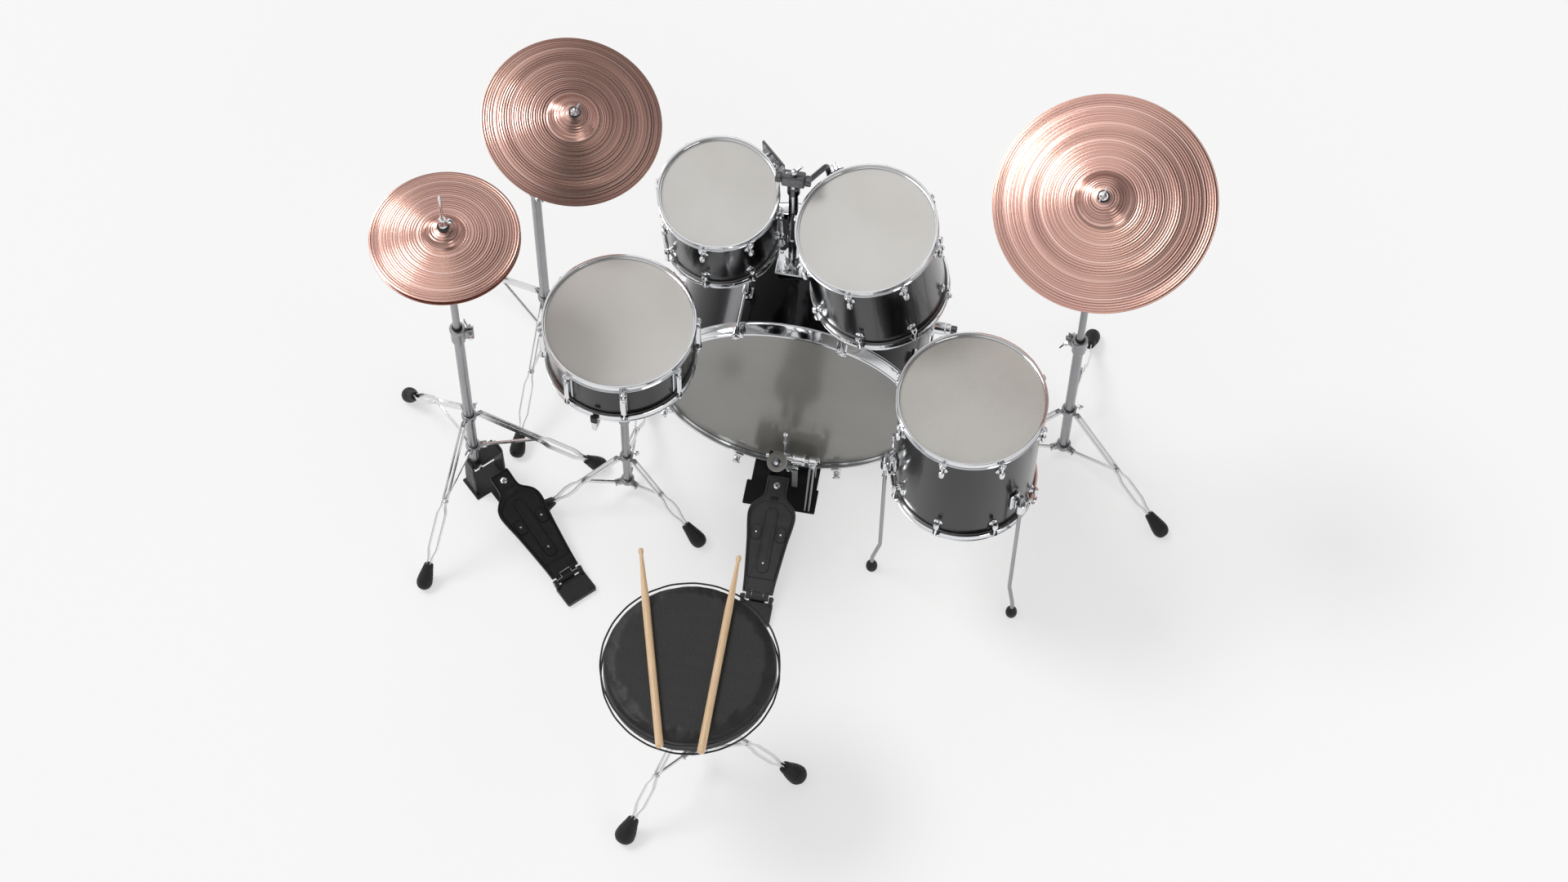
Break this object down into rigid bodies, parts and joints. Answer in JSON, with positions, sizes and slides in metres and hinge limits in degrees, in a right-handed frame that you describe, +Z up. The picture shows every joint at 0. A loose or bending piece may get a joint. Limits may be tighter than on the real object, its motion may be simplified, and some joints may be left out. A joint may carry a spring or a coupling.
{
  "type": "acoustic drum kit",
  "caption": "Acoustic drum kit with bass drum, toms, snare, hi-hat, crash and ride cymbals on folding stands, pedals, throne and drumsticks.",
  "frame": {"origin": "on the floor under the bass drum's batter hoop, on the underside of the kick pedal's base plate", "axes": "+Y along the bass drum's axis away from the player, +X to the player's right, +Z up"},
  "size_m": [1.7941, 1.47, 1.232],
  "materials": {
    "shell": "plywood shell with black brushed-metal wrap",
    "bass_head": "smooth grey film, slightly glossy",
    "drum_head": "off-white coated film",
    "chrome": "polished chrome",
    "dark_chrome": "dark chrome",
    "black_metal": "matt black cast metal",
    "bronze": "rose bronze, fine lathe grooves",
    "seat_leather": "black leather",
    "maple": "lacquered pale maple",
    "satin_tube": "satin grey metal"
  },
  "bodies": {
    "kit_base": {"bass_shell": "shell", "bass_heads": "bass_head", "bass_hoops": "chrome", "bass_hardware": "chrome", "kick_frame": "black_metal", "floor_tom_shell": "shell", "floor_tom_heads": "drum_head", "floor_tom_hoops": "chrome", "floor_tom_lugs": "chrome", "snare_stand_tripod": "satin_tube", "hihat_tripod": "satin_tube", "hihat_pedal_frame": "black_metal", "crash_tripod": "satin_tube", "ride_base_tube": "satin_tube", "throne_tripod": "satin_tube"},
    "spur_left": {"bass_spur_left": "satin_tube"},
    "spur_right": {"bass_spur_right": "satin_tube"},
    "tom_post": {"tom_post": "chrome"},
    "tom_small": {"tom_holder_left": "dark_chrome", "tom_small_shell": "shell", "tom_small_heads": "drum_head", "tom_small_hoops": "chrome", "tom_small_lugs": "chrome"},
    "tom_large": {"tom_holder_right": "dark_chrome", "tom_large_shell": "shell", "tom_large_heads": "drum_head", "tom_large_hoops": "chrome", "tom_large_lugs": "chrome"},
    "kick_footboard": {"kick_footboard": "black_metal"},
    "kick_beater": {"kick_beater": "chrome"},
    "floor_leg_a": {"floor_tom_leg_a": "satin_tube"},
    "floor_leg_b": {"floor_tom_leg_b": "satin_tube"},
    "floor_leg_c": {"floor_tom_leg_c": "satin_tube"},
    "snare": {"snare_stand_basket": "satin_tube", "snare_shell": "shell", "snare_heads": "drum_head", "snare_hoops": "chrome", "snare_lugs": "chrome"},
    "hihat_upper": {"hihat_upper_tube": "satin_tube", "hihat_bottom_cymbal": "bronze"},
    "hihat_rod": {"hihat_pull_rod": "chrome", "hihat_top_cymbal": "bronze"},
    "hihat_footboard": {"hihat_footboard": "black_metal"},
    "crash_upper": {"crash_upper_tube": "satin_tube"},
    "crash_tilter": {"crash_tilter": "chrome"},
    "crash_cymbal": {"crash_cymbal": "bronze"},
    "ride_upper": {"ride_upper_tube": "satin_tube"},
    "ride_tilter": {"ride_tilter": "chrome"},
    "ride_cymbal": {"ride_cymbal": "bronze"},
    "ride_collar": {"ride_collar": "satin_tube"},
    "ride_leg_a": {"ride_leg_a": "satin_tube"},
    "ride_leg_b": {"ride_leg_b": "satin_tube"},
    "ride_leg_c": {"ride_leg_c": "satin_tube"},
    "ride_strut_a": {"ride_strut_a": "satin_tube"},
    "ride_strut_b": {"ride_strut_b": "satin_tube"},
    "ride_strut_c": {"ride_strut_c": "satin_tube"},
    "throne_post": {"throne_post": "satin_tube"},
    "throne_seat": {"throne_cushion": "seat_leather"},
    "stick_left": {"drumstick_left": "maple"},
    "stick_right": {"drumstick_right": "maple"}
  },
  "joints": [
    {"name": "spur_left_fold", "type": "hinge", "parent": "kit_base", "child": "spur_left", "pos_m": [-0.318, 0.255, 0.3], "axis": [1, 0, 0], "range_deg": [0, 77]},
    {"name": "spur_right_fold", "type": "hinge", "parent": "kit_base", "child": "spur_right", "pos_m": [0.318, 0.255, 0.3], "axis": [1, 0, 0], "range_deg": [0, 77]},
    {"name": "tom_post_height", "type": "slide", "parent": "kit_base", "child": "tom_post", "axis": [0, 0, 1], "range_m": [0, 0.08]},
    {"name": "tom_small_tilt", "type": "hinge", "parent": "tom_post", "child": "tom_small", "pos_m": [-0.06, 0.172, 0.956], "axis": [1, 0, 0], "range_deg": [-5, 12]},
    {"name": "tom_large_tilt", "type": "hinge", "parent": "tom_post", "child": "tom_large", "pos_m": [0.004, 0.172, 0.956], "axis": [1, 0, 0], "range_deg": [-10, 2]},
    {"name": "kick_footboard_hinge", "type": "hinge", "parent": "kit_base", "child": "kick_footboard", "pos_m": [-0.009, -0.35, 0.0205], "axis": [1, 0, 0], "range_deg": [-9.5, 0], "stiffness_Nm_per_rad": 8, "springref_deg": 28.65},
    {"name": "kick_beater_swing", "type": "hinge", "parent": "kit_base", "child": "kick_beater", "pos_m": [-0.009, -0.035, 0.112], "axis": [1, 0, 0], "range_deg": [-39, 0]},
    {"name": "floor_leg_a_slide", "type": "slide", "parent": "kit_base", "child": "floor_leg_a", "axis": [0, 0, 1], "range_m": [0, 0.1]},
    {"name": "floor_leg_b_slide", "type": "slide", "parent": "kit_base", "child": "floor_leg_b", "axis": [0, 0, 1], "range_m": [0, 0.1]},
    {"name": "floor_leg_c_slide", "type": "slide", "parent": "kit_base", "child": "floor_leg_c", "axis": [0, 0, 1], "range_m": [0, 0.1]},
    {"name": "snare_height", "type": "slide", "parent": "kit_base", "child": "snare", "axis": [0, 0, 1], "range_m": [-0.03, 0.06]},
    {"name": "hihat_height", "type": "slide", "parent": "kit_base", "child": "hihat_upper", "axis": [0, 0, 1], "range_m": [-0.05, 0.08]},
    {"name": "hihat_rod_travel", "type": "slide", "parent": "hihat_upper", "child": "hihat_rod", "axis": [0, 0, 1], "range_m": [-0.01, 0]},
    {"name": "hihat_footboard_hinge", "type": "hinge", "parent": "kit_base", "child": "hihat_footboard", "pos_m": [-0.43897, -0.37271, 0.0205], "axis": [0.6947, 0.7193, 0], "range_deg": [-2, 0], "stiffness_Nm_per_rad": 20, "springref_deg": 34.38},
    {"name": "crash_height", "type": "slide", "parent": "kit_base", "child": "crash_upper", "axis": [0, 0, 1], "range_m": [-0.05, 0.1]},
    {"name": "crash_tilt", "type": "hinge", "parent": "crash_upper", "child": "crash_tilter", "pos_m": [-0.52277, 0.25123, 0.90843], "axis": [0.6273, 0.7788, 0], "range_deg": [-15, 12]},
    {"name": "crash_spin", "type": "hinge", "parent": "crash_tilter", "child": "crash_cymbal", "pos_m": [-0.52, 0.249, 0.923], "axis": [0.1851, -0.1491, 0.9714], "continuous": true},
    {"name": "ride_height", "type": "slide", "parent": "kit_base", "child": "ride_upper", "axis": [0, 0, 1], "range_m": [-0.05, 0.1]},
    {"name": "ride_tilt", "type": "hinge", "parent": "ride_upper", "child": "ride_tilter", "pos_m": [0.62468, 0.17396, 1.02836], "axis": [1, 0, 0], "range_deg": [-15, 12]},
    {"name": "ride_spin", "type": "hinge", "parent": "ride_tilter", "child": "ride_cymbal", "pos_m": [0.621, 0.161, 1.066], "axis": [-0.0921, -0.3242, 0.9415], "continuous": true},
    {"name": "ride_collar_slide", "type": "slide", "parent": "kit_base", "child": "ride_collar", "axis": [0, 0, 1], "range_m": [0, 0.1411]},
    {"name": "ride_leg_a_fold", "type": "hinge", "parent": "ride_collar", "child": "ride_leg_a", "pos_m": [0.6363, 0.14609, 0.19], "axis": [0.5736, 0.8192, 0], "range_deg": [0, 51]},
    {"name": "ride_strut_a_fold", "type": "hinge", "parent": "kit_base", "child": "ride_strut_a", "pos_m": [0.6363, 0.14609, 0.026], "axis": [0.5736, 0.8192, 0], "range_deg": [-51, 0]},
    {"name": "ride_leg_b_fold", "type": "hinge", "parent": "ride_collar", "child": "ride_leg_b", "pos_m": [0.61727, 0.1869, 0.19], "axis": [-0.9962, 0.0872, 0], "range_deg": [0, 51]},
    {"name": "ride_strut_b_fold", "type": "hinge", "parent": "kit_base", "child": "ride_strut_b", "pos_m": [0.61727, 0.1869, 0.026], "axis": [-0.9962, 0.0872, 0], "range_deg": [-51, 0]},
    {"name": "ride_leg_c_fold", "type": "hinge", "parent": "ride_collar", "child": "ride_leg_c", "pos_m": [0.59144, 0.15001, 0.19], "axis": [0.4226, -0.9063, 0], "range_deg": [0, 51]},
    {"name": "ride_strut_c_fold", "type": "hinge", "parent": "kit_base", "child": "ride_strut_c", "pos_m": [0.59144, 0.15001, 0.026], "axis": [0.4226, -0.9063, 0], "range_deg": [-51, 0]},
    {"name": "throne_height", "type": "slide", "parent": "kit_base", "child": "throne_post", "axis": [0, 0, 1], "range_m": [-0.06, 0.08]},
    {"name": "throne_swivel", "type": "hinge", "parent": "throne_post", "child": "throne_seat", "pos_m": [-0.076, -0.764, 0.46], "axis": [0, 0, 1], "continuous": true},
    {"name": "stick_left_lift", "type": "slide", "parent": "throne_seat", "child": "stick_left", "axis": [0, 0, 1], "range_m": [0, 0.12]},
    {"name": "stick_right_lift", "type": "slide", "parent": "throne_seat", "child": "stick_right", "axis": [0, 0, 1], "range_m": [0, 0.12]}
  ],
  "couplings": [
    {"joint": "ride_leg_a_fold", "follows": "ride_collar_slide", "rad_per_m": 6.1648},
    {"joint": "ride_strut_a_fold", "follows": "ride_collar_slide", "rad_per_m": -6.1648},
    {"joint": "ride_leg_b_fold", "follows": "ride_collar_slide", "rad_per_m": 6.1648},
    {"joint": "ride_strut_b_fold", "follows": "ride_collar_slide", "rad_per_m": -6.1648},
    {"joint": "ride_leg_c_fold", "follows": "ride_collar_slide", "rad_per_m": 6.1648},
    {"joint": "ride_strut_c_fold", "follows": "ride_collar_slide", "rad_per_m": -6.1648},
    {"joint": "kick_beater_swing", "follows": "kick_footboard_hinge", "ratio": 4.1},
    {"joint": "hihat_rod_travel", "follows": "hihat_footboard_hinge", "m_per_rad": 0.285}
  ]
}
